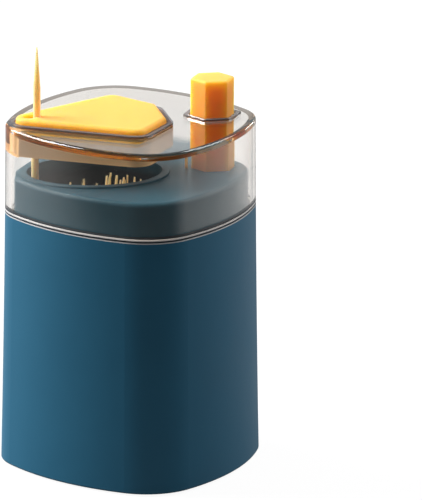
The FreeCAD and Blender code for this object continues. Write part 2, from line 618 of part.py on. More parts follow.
def clear_lid():
    """Clear lid with a pocket for the cover, a refill throat and a collar round the button"""
    outer = loft("lid_outer", outline("lid_o1", "LidFoot"), outline("lid_o2", "LidTop", "LidTopShare"))
    edged = rounded("lid_edged", outer, "LidEdge", at_height(SIZE["LidTop"]))
    wall = ("LidWall",)
    room = loft("lid_room", outline("lid_i1", "LidFoot - Overrun", "", wall),
                outline("lid_i2", "LidTop - LidRoof", "LidTopShare", wall))
    pocket_line = offset("pocket_line", kite("pocket_kite", "PocketFoot"), "CoverGap + PocketWall")
    pocket = extrude("pocket", pocket_line, "CollarTop - PocketFoot")
    collar = hexagon("collar", "ButtonRadius + CollarGap + CollarWall", ("ButtonX", "0", "LidTop - LidRoof"),
                     "CollarTop - LidTop + LidRoof")
    seat = extrude("cover_seat", offset("seat_line", kite("seat_kite", "LedgeOfLid"), "CoverGap"),
                   "CollarTop - LedgeOfLid + Overrun")
    throat_line = offset("throat_line", kite("throat_kite", "PocketFoot - Overrun"), "-PocketLedge")
    throat = extrude("throat", throat_line, "LidTop - PocketFoot + Overrun")
    button_hole = hexagon("button_hole", "ButtonRadius + CollarGap", ("ButtonX", "0", "PocketFoot"),
                          "CollarTop - PocketFoot + Overrun")
    body = fuse("lid_body", cut("lid_shell", edged, room), pocket, collar)
    return cut("clear_lid", body, seat, throat, button_hole)


def pick_cover():
    """Cover over the refill throat, with a plug below and the pick hole at its point"""
    plate = extrude("cover_plate", kite("cover_kite", "CoverFoot"), "CoverThick")
    soft_top = rounded("cover_soft_top", plate, "CoverEdge", at_height(SIZE["CoverTop"]))
    edged = rounded("cover_edged", soft_top, "CoverFootEdge", at_height(SIZE["CoverFoot"]))
    low = "(CoverFoot - PlugDepth)"
    plug = extrude("plug", offset("plug_line", kite("plug_kite", low), "-PocketLedge - CoverGap"),
                   "PlugDepth + FitGap")
    room = extrude("plug_room", offset("plug_room_line", kite("plug_room_kite", f"{low} - Overrun"),
                                       "-PocketLedge - CoverGap - PlugWall"), "PlugDepth + Overrun")
    narrow = rod("hole_narrow", "PickRadius + SlideGap", ("-PickX", "0", low),
                 "CoverThick + PlugDepth + Overrun")
    wide = rod("hole_wide", "HoleWide", ("-PickX - HoleLength", "0", "CoverFoot - Overrun"),
               "CoverThick + 2 * Overrun")
    return cut("pick_cover", fuse("cover_whole", edged, cut("plug_ring", plug, room)), narrow, wide)


def button():
    """Hexagonal push button with a spring bore and a slotted shoe for the lever's pins"""
    column = hexagon("column", "ButtonRadius", ("ButtonX", "0", "ShoeTop - FitGap"),
                     "ButtonTop - ShoeTop + FitGap")
    ridged = rounded("column_ridged", column, "ButtonRidge", upright)
    edged = rounded("column_edged", ridged, "ButtonEdge", at_height(SIZE["ButtonTop"]))
    shoe = block("shoe", ("ShoeEnd", "-ShoeWidth", "ShoeFoot"),
                 ("ButtonX + ShoeLength", "ShoeWidth", "ShoeTop"))
    bore = rod("spring_bore", "BoreRadius", ("ButtonX", "0", "ShoeFoot - Overrun"),
               "BoreTop - ShoeFoot + Overrun")
    half = "(PinRadius + ButtonPlay)"
    slot = block("shoe_slot",
                 (f"ShoePin - {half}", "-ShoeWidth - Overrun", f"ButtonPin - {half}"),
                 (f"PivotX + ShortArm + {half}", "ShoeWidth + Overrun", f"ButtonPin + {half}"))
    return cut("button", fuse("button_whole", edged, shoe), bore, slot)


def button_guide():
    """Hexagonal guide under the deck"""
    top = "(DeckTop - DeckThick)"
    foot = "(ShoeTop + SlideGap)"
    bore = "HexRadius"
    outer = hexagon("guide_outer", f"{bore} + GuideWall", ("ButtonX", "0", foot), f"{top} - {foot}")
    inner = hexagon("guide_inner", bore, ("ButtonX", "0", f"{foot} - Overrun"),
                    f"{top} - {foot} + 2 * Overrun")
    return cut("button_guide", outer, inner)


def spring_post():
    """Post on the base plate with the spring's seat and pilot"""
    at = "ButtonX", "0"
    flange = rod("post_flange", "PostFlange", (*at, "BaseTop"), "FlangeThick")
    stem = rod("post_stem", "PostRadius", (*at, "BaseTop"), "SeatTop + PilotHeight - BaseTop")
    seat = rod("post_seat", "SeatRadius", (*at, "SeatTop - SeatThick"), "SeatThick")
    return fuse("spring_post", flange, stem, seat)


def biarc(first, first_way, last, last_way):
    """Two arcs in one smooth run between two points with given directions"""
    chord = last - first
    spread = first_way + last_way
    along = chord.dot(spread)
    fold = 2 * (1 - first_way.dot(last_way))
    length = chord.dot(chord) / (along + math.sqrt(along ** 2 + fold * chord.dot(chord)))
    joint = (first + last + (first_way - last_way) * length) * 0.5
    knee_one = first + first_way * length
    knee_two = last - last_way * length
    edges = []
    for start, knee, end in ((first, knee_one, joint), (joint, knee_two, last)):
        middle = (start + end) * 0.5
        lean = (knee - middle).Length
        half = (end - start).Length / 2
        sag = half * lean / (half + math.hypot(half, lean))
        edges.append(Part.Arc(start, middle + (knee - middle).normalize() * sag, end).toShape())
    return edges


def return_spring():
    """Compression spring between the post's seat and the end of the button's bore"""
    foot = SIZE["SeatTop"] + SIZE["WireRadius"]
    top = SIZE["BoreTop"] - SIZE["WireRadius"]
    radius = SIZE["SpringRadius"]
    turns = int(SIZE["SpringTurns"])
    steps = turns * 4
    climb = (top - foot) / turns / (2 * math.pi)

    def place(step):
        angle = step * math.pi / 2
        x = SIZE["ButtonX"] + radius * math.cos(angle)
        return FreeCAD.Vector(x, radius * math.sin(angle), foot + climb * angle)

    def way(step):
        angle = step * math.pi / 2
        return FreeCAD.Vector(-radius * math.sin(angle), radius * math.cos(angle), climb).normalize()

    edges = []
    for step in range(steps):
        edges += biarc(place(step), way(step), place(step + 1), way(step + 1))
    ring = Part.Wire(Part.Circle(place(0), way(0), SIZE["WireRadius"]).toShape())
    shell = Part.BRepOffsetAPI.MakePipeShell(Part.Wire(edges))
    shell.add(ring)
    shell.build()
    shell.makeSolid()
    print("spring's least gap to itself", round((top - foot) / turns - 2 * SIZE["WireRadius"], 2))
    made = doc.addObject("Part::Feature", "return_spring")
    made.Shape = shell.shape()
    return made


def lever():
    """Rocker lever: a hub with two short arms for the button and two long arms for the carriage"""
    hub = rod("hub", "HubRadius", ("PivotX", "-ArmOut", "PivotHeight"), "2 * ArmOut", ALONG_Y)
    half = "ArmDepth / 2"
    parts = [hub]
    for side, sign in (("back", 1), ("front", -1)):
        for kind, near, far, reach in (("long", "ArmIn", "ArmOut", "-LongArm"),
                                       ("short", "InnerArmIn", "(InnerArmIn + ArmThick)", "ShortArm")):
            low, high = (near, far) if sign == 1 else (f"-{far}", f"-{near}")
            ends = ("0", reach) if kind == "short" else (reach, "0")
            arm = block(f"{kind}_{side}", (f"PivotX + {ends[0]}", low, f"PivotHeight - {half}"),
                        (f"PivotX + {ends[1]}", high, f"PivotHeight + {half}"))
            end = rod(f"{kind}_{side}_end", half, (f"PivotX + {reach}", low, "PivotHeight"), "ArmThick",
                      ALONG_Y)
            parts += [tilted(arm), tilted(end)]
    bore = rod("hub_bore", "ShaftRadius + ShaftPlay", ("PivotX", "-ArmOut - Overrun", "PivotHeight"),
               "2 * ArmOut + 2 * Overrun", ALONG_Y)
    holes = [tilted(pin_rod(f"pin_hole{number}", reach, near, far))
             for number, (reach, near, far) in enumerate(lever_pin_places())]
    return cut("rocker_lever", fuse("lever_whole", *parts), bore, *holes)


def tilted(piece):
    """Turn a piece of the lever about the shaft, from level to its place at rest"""
    doc.recompute()
    made = doc.addObject("Part::Compound", piece.Name + "_tilted")
    made.Links = [piece]
    made.Placement.Rotation = FreeCAD.Rotation(FreeCAD.Vector(0, -1, 0), 1)
    bind(made, **{"Placement.Rotation.Angle": "Tilt"})
    return bind(made, Placement_x="PivotX - PivotX * cos(Tilt) + PivotHeight * sin(Tilt)",
                Placement_z="PivotHeight - PivotX * sin(Tilt) - PivotHeight * cos(Tilt)")


def lever_pin_places():
    """Pins of the lever: distance from the shaft, low end and high end across"""
    long_near = "(ArmIn - ArmGap - PinReach)"
    short_near = "(InnerArmIn - ArmGap - PinReach)"
    short_far = "(InnerArmIn + ArmThick)"
    return [("-LongArm", long_near, "ArmOut"), ("-LongArm", "-ArmOut", f"-{long_near}"),
            ("ShortArm", short_near, short_far), ("ShortArm", f"-{short_far}", f"-{short_near}")]


def pin_rod(name, reach, near, far):
    """Pin across the lever"""
    return rod(name, "PinRadius", (f"PivotX + {reach}", near, "PivotHeight"), f"{far} - {near}", ALONG_Y)


def lever_pins():
    """Four steel pins pressed into the arms"""
    made = doc.addObject("Part::Compound", "lever_pins")
    made.Links = [tilted(pin_rod(f"pin{number}", reach, near, far))
                  for number, (reach, near, far) in enumerate(lever_pin_places())]
    return made


def lever_shaft():
    """Steel shaft through both brackets"""
    end = "(BracketOut + ClipThick)"
    return rod("lever_shaft", "ShaftRadius", ("PivotX", f"-{end}", "PivotHeight"), f"2 * {end}", ALONG_Y)


def shaft_clips():
    """Ring clips at both ends of the shaft"""
    clips = []
    for number, start in enumerate(("BracketOut", "-BracketOut - ClipThick")):
        ring = rod(f"clip{number}", "ClipRadius", ("PivotX", start, "PivotHeight"), "ClipThick", ALONG_Y)
        hole = rod(f"clip_hole{number}", "ShaftRadius", ("PivotX", f"{start} - Overrun", "PivotHeight"),
                   "ClipThick + 2 * Overrun", ALONG_Y)
        clips.append(cut(f"clip_ring{number}", ring, hole))
    made = doc.addObject("Part::Compound", "shaft_clips")
    made.Links = clips
    return made


def bracket(name, low, high):
    """Upright on the base plate with a rounded top and the shaft's hole"""
    plate = block(f"{name}_plate", ("PivotX - BracketLength", low, "BaseTop"),
                  ("PivotX + BracketLength", high, "PivotHeight"))
    head = rod(f"{name}_head", "BracketTop", ("PivotX", low, "PivotHeight"), "BracketThick", ALONG_Y)
    neck = block(f"{name}_neck", ("PivotX - BracketTop", low, "PivotHeight - BracketLength"),
                 ("PivotX + BracketTop", high, "PivotHeight"))
    hole = rod(f"{name}_hole", "ShaftRadius", ("PivotX", f"{low} - Overrun", "PivotHeight"),
               "BracketThick + 2 * Overrun", ALONG_Y)
    return cut(name, fuse(f"{name}_whole", plate, neck, head), hole)


def carriage():
    """U-shaped carriage round the end of the hopper, with pin slots, a tongue and the lifting finger"""
    inner = "(CupOutLong + BandGap)", "(CupOutWide + BandGap)"
    outer = f"{inner[0]} + BandThick", f"{inner[1]} + BandThick"
    band_out = extrude("band_out", oval("band_oval", outer[0], outer[1], "BandFoot"), "BandHeight")
    tongue = block("tongue", ("-TongueFace", "-TongueWide", "FingerFoot"),
                   (f"-HopperOffset - {inner[0]} + FitGap", "TongueWide", "BandTop"))
    band_in = extrude("band_in", oval("band_in_oval", inner[0], inner[1], "FingerFoot - Overrun"),
                      "BandTop - FingerFoot + 2 * Overrun")
    behind = block("behind", ("BandEnd", "-HalfWidth", "BandFoot - Overrun"),
                   ("HalfLength", "HalfWidth", "BandTop + Overrun"))
    half = "(PinRadius + CarriagePlay)"
    slot = block("pin_slot",
                 ("PivotX - LongArm - PinRadius - SlideGap", "-HalfWidth", f"CarriagePin - {half}"),
                 ("BandEnd - BandEndWall", "HalfWidth", f"CarriagePin + {half}"))
    band = cut("band", fuse("band_whole", band_out, tongue), band_in, behind, slot)
    spared = block("tongue_back", ("-TongueFace", "-TongueWide", "FingerFoot"),
                   (f"-HopperOffset - {inner[0]} - FitGap", "TongueWide", "BandTop"))
    finger = block("finger", ("TongueReach - TongueFace", "-FingerWide", "FingerFoot"),
                   ("-PickX + PickRadius + FingerTipGap", "FingerWide", "FingerFoot + FingerThick"))
    return fuse("carriage", band, spared, finger)


def pick_shape(foot, way):
    """Toothpick with two pointed ends, from its foot along a direction"""
    radius = SIZE["PickRadius"]
    point = SIZE["PickPoint"]
    length = SIZE["PickLength"]
    shoulder = SIZE["PickTaper"]
    rise = [(0, 0), (point, 0), (radius, shoulder), (radius, length - shoulder), (point, length)]
    face = Part.Face(Part.makePolygon([FreeCAD.Vector(x, 0, z) for x, z in rise + [(0, length), (0, 0)]]))
    solid = face.revolve(FreeCAD.Vector(), UP, 360)
    return solid.transformed(FreeCAD.Placement(foot, FreeCAD.Rotation(UP, way)).toMatrix())


def stored_toothpicks():
    """Picks that stand in the back half of the hopper and lean towards the button"""
    pitch = SIZE["PickPitch"]
    row_pitch = pitch * math.sqrt(3) / 2
    clear = SIZE["PickRadius"] + SIZE["FitGap"]
    rise = SIZE["LedgeTop"] - SIZE["FloorTop"]
    # Feet start past the lane, and tips end at the side beside the button
    lane = SIZE["LaneDepth"] + clear + pitch / 2 - SIZE["CupLong"]
    lean_share = 0.075
    fan_share = 0.018

    def inside(x, y):
        return math.hypot(x / (SIZE["CupLong"] - clear), y / (SIZE["CupWide"] - clear)) < 1

    picks = []
    for row in range(-1, int(SIZE["CupWide"] / row_pitch)):
        for column in range(int(2 * SIZE["CupLong"] / pitch)):
            x = lane + (column + (row % 2) / 2) * pitch
            y = row * row_pitch
            # The side beside the lane has fewer picks left than the side beside the button
            missing = (row + 2 * column) % 5 != 1 if x < 0 else (row + column) % 3 == 1
            fan = FreeCAD.Vector(x, y, 0) * (fan_share / SIZE["CupLong"])
            lean = fan + FreeCAD.Vector(lean_share, 0, 1)
            if missing or not inside(x, y) or not inside(x + lean.x * rise, y + lean.y * rise):
                continue
            way = lean.normalize()
            foot = FreeCAD.Vector(x - SIZE["HopperOffset"], y, SIZE["FloorTop"])
            lifted = foot + UP * (SIZE["PickPoint"] * math.hypot(way.x, way.y))
            picks.append(pick_shape(lifted, way))
    made = doc.addObject("Part::Feature", "stored_toothpicks")
    made.Shape = Part.makeCompound(picks)
    print("stored picks:", len(picks))
    return made


def raised_toothpick():
    """Pick that stands up through the cover's hole"""
    made = doc.addObject("Part::Feature", "raised_toothpick")
    made.Shape = pick_shape(FreeCAD.Vector(-SIZE["PickX"], 0, SIZE["PickFoot"]), UP)
    return made


NODES = [
    body_shell(), base_plate(), rubber_feet(), base_screws(), seam_ring(), deck(), hopper_cup(), clear_lid(),
    pick_cover(), button(), button_guide(), spring_post(), return_spring(), lever(), lever_pins(),
    lever_shaft(), shaft_clips(), bracket("bracket_back", "BracketIn", "BracketOut"),
    bracket("bracket_front", "-BracketOut", "-BracketIn"), carriage(), stored_toothpicks(),
    raised_toothpick(),
]

doc.recompute()
for item in doc.Objects:
    if "Invalid" in item.State or "Error" in item.State:
        raise ValueError(f"{item.Name} failed: {item.State}")
for node in NODES:
    node.Label = node.Name
    if node.Shape.isNull() or not node.Shape.isValid():
        raise ValueError(f"{node.Name} has no valid shape")
os.makedirs("parts", exist_ok=True)
for node in NODES:
    node.Shape.exportStep(os.path.join("parts", node.Label + ".step"))
    count = len(node.Shape.Solids)
    print(f"{node.Label}: {count} solids, {node.Shape.Volume:.0f} mm3")
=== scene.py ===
# %% [markdown]
# # A push-button toothpick dispenser
#
# A squarish blue body holds a cup of toothpicks under a clear lid. A press on the yellow button
# makes one pick stand up through a small hole in the yellow cover. The CAD model already gives
# each piece its exact shape and place, so this lesson is mostly about what the pieces are made
# of: matte moulded plastic, clear smoky plastic, amber plastic, steel, rubber and birch wood.

# %% Load the CAD frame
import json
import math

import bmesh
import bpy
from mathutils import Matrix, Vector

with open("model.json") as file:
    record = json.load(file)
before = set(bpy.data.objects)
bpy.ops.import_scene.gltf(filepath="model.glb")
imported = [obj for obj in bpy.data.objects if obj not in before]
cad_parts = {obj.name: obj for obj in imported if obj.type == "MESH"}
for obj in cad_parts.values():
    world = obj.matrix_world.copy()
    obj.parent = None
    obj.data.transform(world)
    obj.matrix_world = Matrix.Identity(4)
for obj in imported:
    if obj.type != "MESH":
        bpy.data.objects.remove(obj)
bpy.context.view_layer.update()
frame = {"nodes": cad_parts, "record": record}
nodes = frame["nodes"]

# %% [markdown]
# ## Camera
#
# The picture was taken from far away with a long lens, so the sides of the body stay nearly
# parallel. The camera stands a little to the left of the front and looks down by 16 degrees.
# It is turned a little to the right as well, which puts the dispenser left of the middle.

# %% Camera
MM = 0.001
LOOK_DOWN = 0.279
LOOK_FROM_LEFT = 0.195
AIM_RIGHT = 0.0119
ROLL = 0.002
DISTANCE = 1678 * MM
AIM_AT = Vector((-0.2 * MM, 0, 52.5 * MM))
back = Vector((0, -math.cos(LOOK_DOWN), math.sin(LOOK_DOWN)))
to_front = Matrix.Rotation(-LOOK_FROM_LEFT, 4, "Z")
camera = bpy.data.objects.new("camera", bpy.data.cameras.new("camera"))
bpy.context.scene.collection.objects.link(camera)
camera.data.lens = 490.8
camera.data.clip_end = 20
camera.matrix_world = (to_front @ Matrix.Translation(AIM_AT + back * DISTANCE)
                       @ Matrix.Rotation(math.pi / 2 - LOOK_DOWN, 4, "X")
                       @ Matrix.Rotation(-AIM_RIGHT, 4, "Y") @ Matrix.Rotation(ROLL, 4, "Z"))
bpy.context.scene.camera = camera
bpy.context.scene.view_settings.view_transform = "Standard"
print("camera at", [round(v, 3) for v in camera.matrix_world.translation])

# %% [markdown]
# ## Writing shader maths as plain Python
#
# A material is a net of nodes. Placing each Math node by hand makes long code that is hard to
# read, so a small class wraps one output socket and turns +, -, * and / into Math nodes. One
# method of a second class adds every other kind of node.


# %% Helpers for materials
class Value:
    """An output socket that can be used in plain maths"""

    def __init__(self, paint, socket):
        self.paint = paint
        self.socket = socket

    def maths(self, operation, *values):
        return self.paint.node("ShaderNodeMath", {"operation": operation}, dict(enumerate(values)))

    def __add__(self, other):
        return self.maths("ADD", self, other)

    def __sub__(self, other):
        return self.maths("SUBTRACT", self, other)

    def __mul__(self, other):
        return self.maths("MULTIPLY", self, other)

    def __truediv__(self, other):
        return self.maths("DIVIDE", self, other)

    def __rsub__(self, other):
        return self.maths("SUBTRACT", other, self)

    def __pow__(self, other):
        return self.maths("POWER", self, other)

    def larger(self, other):
        return self.maths("MAXIMUM", self, other)

    __radd__ = __add__


class Paint:
    """A material or world and the nodes in it"""

    def __init__(self, owner):
        self.owner = owner
        owner.use_nodes = True
        self.tree = owner.node_tree
        self.tree.nodes.clear()

    def node(self, kind, settings=None, inputs=None, output=0):
        """Add a node with its settings, then the values or links of its sockets"""
        made = self.tree.nodes.new(kind)
        for name, setting in (settings or {}).items():
            if name == "stops":
                self.set_stops(made.color_ramp, setting)
            else:
                setattr(made, name, setting)
        for name, given in (inputs or {}).items():
            if isinstance(given, Value):
                self.tree.links.new(given.socket, made.inputs[name])
            else:
                made.inputs[name].default_value = given
        return Value(self, made.outputs[output]) if len(made.outputs) else made

    def set_stops(self, ramp, stops):
        """Give a colour ramp its places and colours"""
        for number, (place, colour) in enumerate(stops):
            stop = ramp.elements[number] if number < 2 else ramp.elements.new(place)
            stop.position = place
            stop.color = colour

    def noise(self, scale, detail=2.0, stretch=None, distortion=0.0):
        """Noise on the piece's own coordinates, with its features about 1 / scale metres wide"""
        place = self.node("ShaderNodeTexCoord", output="Object")
        if stretch:
            place = self.node("ShaderNodeMapping", {}, {"Vector": place, "Scale": stretch})
        return self.node("ShaderNodeTexNoise", {}, {
            "Vector": place, "Scale": scale, "Detail": detail, "Distortion": distortion})

    def blend(self, share, first, second):
        """Mix two colours"""
        return self.node("ShaderNodeMix", {"data_type": "RGBA"}, {0: share, 6: first, 7: second}, output=2)

    def bump(self, height, depth, strength=1.0):
        """Raise the surface by up to a depth in metres"""
        return self.node("ShaderNodeBump", {}, {"Height": height, "Distance": depth, "Strength": strength})


def colour(red, green, blue):
    """Screen colour from 0 to 255, as the linear colour that a shader takes"""
    parts = [part / 255 for part in (red, green, blue)]
    return (*[part / 12.92 if part < 0.04045 else ((part + 0.055) / 1.055) ** 2.4 for part in parts], 1.0)


# %% Helpers for a finish
def finish(name, sockets, paint=None):
    """Plain material with one surface shader"""
    paint = paint or Paint(bpy.data.materials.new(name))
    surface = paint.node("ShaderNodeBsdfPrincipled", {}, sockets)
    paint.node("ShaderNodeOutputMaterial", {}, {"Surface": surface})
    return paint.owner


def new_paint(name):
    """Empty material"""
    return Paint(bpy.data.materials.new(name))


def place(paint, axis):
    """Place on a piece along one axis in metres"""
    spot = paint.node("ShaderNodeTexCoord", output="Object")
    return paint.node("ShaderNodeSeparateXYZ", {}, {"Vector": spot}, output=axis)


def above(value, limit):
    """One where a value is over a limit and nought elsewhere"""
    return value.maths("GREATER_THAN", value, limit)


# %% [markdown]
# ## Matte blue plastic
#
# The body is moulded in a petrol blue with a fine matte texture, so it has no sharp
# reflections, only a soft sheen. Two sizes of noise do this: a very fine one for the spark
# texture of the mould, and a large faint one, because no moulding is perfectly even.
#
# Little light gets down into the hopper. Its deck and cup share one finish, so the cup's inside
# is found by its place, an oval below the rim, and a painted shade darkens it over the first few
# millimetres.


# %% Blue plastics
CUP_MIDDLE = -8.7 * MM
CUP_HALF_LENGTH = 17.2 * MM
CUP_HALF_WIDTH = 14.2 * MM
CUP_RIM = 72.8 * MM
CUP_DARK = 69.5 * MM


def depth_in_cup(paint):
    """From nought at the hopper's rim to one a little way down inside it"""
    along, across, level = (place(paint, axis) for axis in "XYZ")
    from_middle = ((along - CUP_MIDDLE) / CUP_HALF_LENGTH) ** 2 + (across / CUP_HALF_WIDTH) ** 2
    down = paint.node("ShaderNodeMapRange", {}, {"Value": level, "From Min": CUP_RIM, "From Max": CUP_DARK})
    return down * above(1.0 - from_middle, 0.0)


def blue_plastic(name, deep, light, roughness, gloss, grain, painted_cup_shade=False):
    """Moulded plastic with a spark texture, and a painted shade inside the hopper's cup if asked"""
    paint = new_paint(name)
    cloud = paint.noise(60, 3)
    spark = paint.noise(3200, 2)
    tint = paint.blend(cloud, deep, light)
    if painted_cup_shade:
        # Painted shade: the cup's inside goes towards blue-black below the rim, as little light gets in
        tint = paint.blend(depth_in_cup(paint) * 0.9, tint, colour(24, 27, 36))
    return finish(name, {
        "Base Color": tint,
        "Roughness": roughness + (cloud - 0.5) * 0.12 + (spark - 0.5) * 0.1,
        "IOR": 1.46,
        "Specular IOR Level": gloss,
        "Normal": paint.bump(spark, grain * MM, 0.35),
    }, paint)


shell_blue = blue_plastic("shell_blue", colour(27, 90, 119), colour(33, 98, 127), 0.46, 0.36, 0.05)
deck_blue = blue_plastic(
    "deck_blue", colour(38, 80, 98), colour(44, 87, 106), 0.4, 0.15, 0.03, painted_cup_shade=True)
print("blue finishes:", shell_blue.name, deck_blue.name)

# %% [markdown]
# ## Clear smoky plastic
#
# The lid is clear with a faint warm smoke tint. The tint is in the plastic, so it grows with
# the way that light takes through it: thin walls look clear and edges look dark. Absorption
# inside the closed mesh does that.
#
# Some rays pass straight through without bending. Shadow rays and scattered rays do, or the deck
# under the lid would stay dark. Rays that were mirrored more than once do as well, or the rims
# would come out black. This is a choice for the looks and not how clear plastic behaves.
#
# Three places get painted light or shade of their own, found by where they are on the lid: a pale
# warm colour on the walls of the pocket is painted light that stands in for the light those walls
# bend and mirror, a painted grey on the raised edges round the pocket and the button stands in
# for their dark refracted rims, and a painted shade darkens the foot in the body.


# %% Clear plastics
MOST_MIRRORED = 1.5
POCKET_TAPER = 0.586
POCKET_POINT = 21.5 * MM
POCKET_FAR_END = -29.0 * MM
POCKET_NEAR_END = 9.6 * MM
POCKET_LOW = 78.9 * MM
POCKET_HIGH = 83.7 * MM
RAISED_EDGE = 85.87 * MM
LID_SEAT = 64.9 * MM


def pocket_walls(paint):
    """One on the walls of the lid's pocket and nought elsewhere"""
    along, across, level = (place(paint, axis) for axis in "XYZ")
    kite = above(along * POCKET_TAPER + POCKET_POINT, across.maths("ABSOLUTE", across))
    ends = above(along, POCKET_FAR_END) * above(POCKET_NEAR_END - along, 0.0)
    return kite * ends * above(level, POCKET_LOW) * above(POCKET_HIGH - level, 0.0)


def raised_edges(paint):
    """One on the raised edges round the pocket and the button and nought elsewhere"""
    return above(place(paint, "Z"), RAISED_EDGE)


def seat(paint):
    """One on the foot of the lid, where it sits in the body, and nought elsewhere"""
    return above(LID_SEAT - place(paint, "Z"), 0.0)


def clear_plastic(name, tint, density, roughness):
    """Clear plastic that darkens along the way through it, with painted light and shade in three places"""
    paint = new_paint(name)
    smudge = paint.noise(90, 4, distortion=0.6)
    clear = paint.node("ShaderNodeBsdfPrincipled", {}, {
        "Base Color": (0.995, 0.99, 0.985, 1),
        "Roughness": (smudge - 0.45).larger(0.0) * 0.25 + roughness,
        "IOR": 1.5,
        "Specular IOR Level": 0.4,
        "Transmission Weight": 1.0,
    })
    # Painted light: a pale warm diffuse colour on the pocket's walls stands in for the light they bend and
    # mirror
    painted_pocket_light = paint.node("ShaderNodeBsdfDiffuse", {}, {"Color": colour(255, 210, 156)})
    with_pocket_light = paint.node("ShaderNodeMixShader", {}, {0: pocket_walls(paint) * 0.88, 1: clear, 2: painted_pocket_light})
    # Painted shade: a grey on the raised edges stands in for the dark rims that bent light gives there
    painted_edge_shade = paint.node("ShaderNodeBsdfDiffuse", {}, {"Color": colour(96, 96, 100)})
    edged = paint.node("ShaderNodeMixShader", {}, {0: raised_edges(paint) * 0.7, 1: with_pocket_light, 2: painted_edge_shade})
    # Painted shade: the lid's foot, where it sits in the body, is darkened
    painted_seat_shade = paint.node("ShaderNodeBsdfDiffuse", {}, {"Color": colour(64, 70, 76)})
    seated = paint.node("ShaderNodeMixShader", {}, {0: seat(paint) * 0.85, 1: edged, 2: painted_seat_shade})
    through = paint.node("ShaderNodeBsdfTransparent", {}, {"Color": (0.88, 0.86, 0.83, 1)})
    shadow, scattered, mirrored = (paint.node("ShaderNodeLightPath", output=kind) for kind in (
        "Is Shadow Ray", "Is Diffuse Ray", "Glossy Depth"))
    straight = shadow.larger(scattered).larger(above(mirrored, MOST_MIRRORED))
    surface = paint.node("ShaderNodeMixShader", {}, {0: straight, 1: seated, 2: through})
    inside = paint.node("ShaderNodeVolumeAbsorption", {}, {"Color": tint, "Density": density})
    paint.node("ShaderNodeOutputMaterial", {}, {"Surface": surface, "Volume": inside})
    return paint.owner


clear_tint = clear_plastic("clear_tint", colour(214, 194, 168), 54.0, 0.02)
print("clear finish:", clear_tint.name)


# %% Pale plastic of the seam ring
GROOVE_LOW = 63.68 * MM
GROOVE_HIGH = 64.12 * MM


def pale_plastic(name):
    """Pale translucent plastic with a faint cloud and a painted shade in its groove"""
    paint = new_paint(name)
    cloud = paint.noise(140, 3)
    level = place(paint, "Z")
    groove_shade = above(level, GROOVE_LOW) * above(GROOVE_HIGH - level, 0.0)
    pale = paint.blend(cloud, colour(206, 204, 204), colour(222, 221, 221))
    return finish(name, {
        # Painted shade: the groove between the two pale lines is coloured dark blue-grey
        "Base Color": paint.blend(groove_shade, pale, colour(70, 78, 86)),
        "Roughness": 0.22 + cloud * 0.16,
        "IOR": 1.5,
        "Subsurface Weight": 0.3,
        "Subsurface Radius": (1.0, 1.0, 1.0),
        "Subsurface Scale": 0.002,
    }, paint)


pale_clear = pale_plastic("pale_clear")

# %% [markdown]
# ## Amber plastic
#
# The cover and the button are a warm yellow with a satin gloss. Light enters such plastic a
# little way before it comes out again, which keeps its dark sides orange. A high subsurface
# weight does that. A thin coat, put only on the faces that look up, is a painted sheen that makes
# the tops pale.


# %% Amber plastic
def amber_plastic(name):
    """Satin amber plastic, slightly see-through to light"""
    paint = new_paint(name)
    cloud = paint.noise(110, 3)
    fine = paint.noise(2600, 2)
    facing = paint.node("ShaderNodeNewGeometry", output="Normal")
    upward = paint.node("ShaderNodeSeparateXYZ", {}, {"Vector": facing}, output="Z")
    return finish(name, {
        "Base Color": paint.blend(cloud, colour(255, 161, 74), colour(255, 169, 86)),
        "Roughness": 0.46 + (cloud - 0.5) * 0.14,
        "IOR": 1.48,
        "Specular IOR Level": 0.08,
        "Subsurface Weight": 0.9,
        "Subsurface Radius": (1.0, 0.9, 0.25),
        "Subsurface Scale": 0.009,
        # Painted sheen: a coat only on the faces that look up makes the tops paler
        "Coat Weight": above(upward, 0.6) * 0.2,
        "Coat Roughness": 0.5,
        "Normal": paint.bump(fine, 0.02 * MM, 0.3),
    }, paint)


amber_yellow = amber_plastic("amber_yellow")
print("amber finish:", amber_yellow.name)

# %% [markdown]
# ## Finishes of the hidden works
#
# Inside are unpainted nylon mouldings, steel wire and pins, and under the base are rubber
# feet. Each gets its own small surface: nylon is faintly cloudy, drawn steel is streaked along
# its length, and rubber is dull with a fine skin.


# %% Nylon, steel and rubber
def nylon(name):
    """Natural nylon"""
    paint = new_paint(name)
    cloud = paint.noise(240, 4)
    return finish(name, {
        "Base Color": paint.blend(cloud, colour(226, 221, 206), colour(238, 235, 224)),
        "Roughness": 0.38 + cloud * 0.12,
        "Subsurface Weight": 0.15,
        "Subsurface Radius": (1.0, 0.9, 0.7),
        "Subsurface Scale": 0.001,
        "Normal": paint.bump(cloud, 0.03 * MM, 0.4),
    }, paint)


def steel(name):
    """Drawn and polished steel"""
    paint = new_paint(name)
    streak = paint.noise(900, 3, stretch=(1, 0.08, 1))
    return finish(name, {
        "Base Color": paint.blend(streak, colour(176, 178, 182), colour(205, 206, 208)),
        "Metallic": 1.0,
        "Roughness": 0.2 + streak * 0.16,
        "Normal": paint.bump(streak, 0.01 * MM, 0.3),
    }, paint)


def rubber(name):
    """Dull black rubber"""
    paint = new_paint(name)
    skin = paint.noise(1500, 4)
    return finish(name, {
        "Base Color": paint.blend(skin, colour(38, 38, 40), colour(54, 54, 56)),
        "Roughness": 0.72 + skin * 0.15,
        "Normal": paint.bump(skin, 0.06 * MM, 0.6),
    }, paint)


natural_nylon = nylon("natural_nylon")
plain_steel = steel("steel")
foot_rubber = rubber("foot_rubber")

# %% [markdown]
# ## Birch
#
# A toothpick is a thin birch rod with its grain along it. Noise that is stretched along the
# pick gives fine darker fibres, and the same noise makes them slightly raised.


